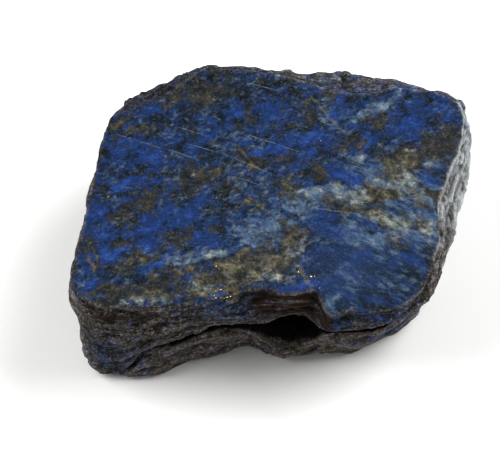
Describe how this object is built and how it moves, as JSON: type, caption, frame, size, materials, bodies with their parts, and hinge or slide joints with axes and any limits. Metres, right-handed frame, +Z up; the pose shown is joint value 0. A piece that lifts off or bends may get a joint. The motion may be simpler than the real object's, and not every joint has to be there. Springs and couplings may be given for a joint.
{
  "type": "lapis lazuli stone",
  "caption": "Rough blue lapis lazuli stone with a flat sawn face up, broken layered sides and a gaping crack along the front, lying on its back.",
  "frame": {"origin": "under the middle of the stone's bounding box, on the surface that it rests on", "axes": "+X along the stone's length, +Y towards the side with the chipped back edge, +Z up out of the sawn face"},
  "size_m": [0.0462, 0.0356, 0.0145],
  "materials": {
    "lapis": "sawn satin face with rough broken sides"
  },
  "bodies": {
    "root": {"lapis_stone": "lapis"}
  },
  "joints": []
}
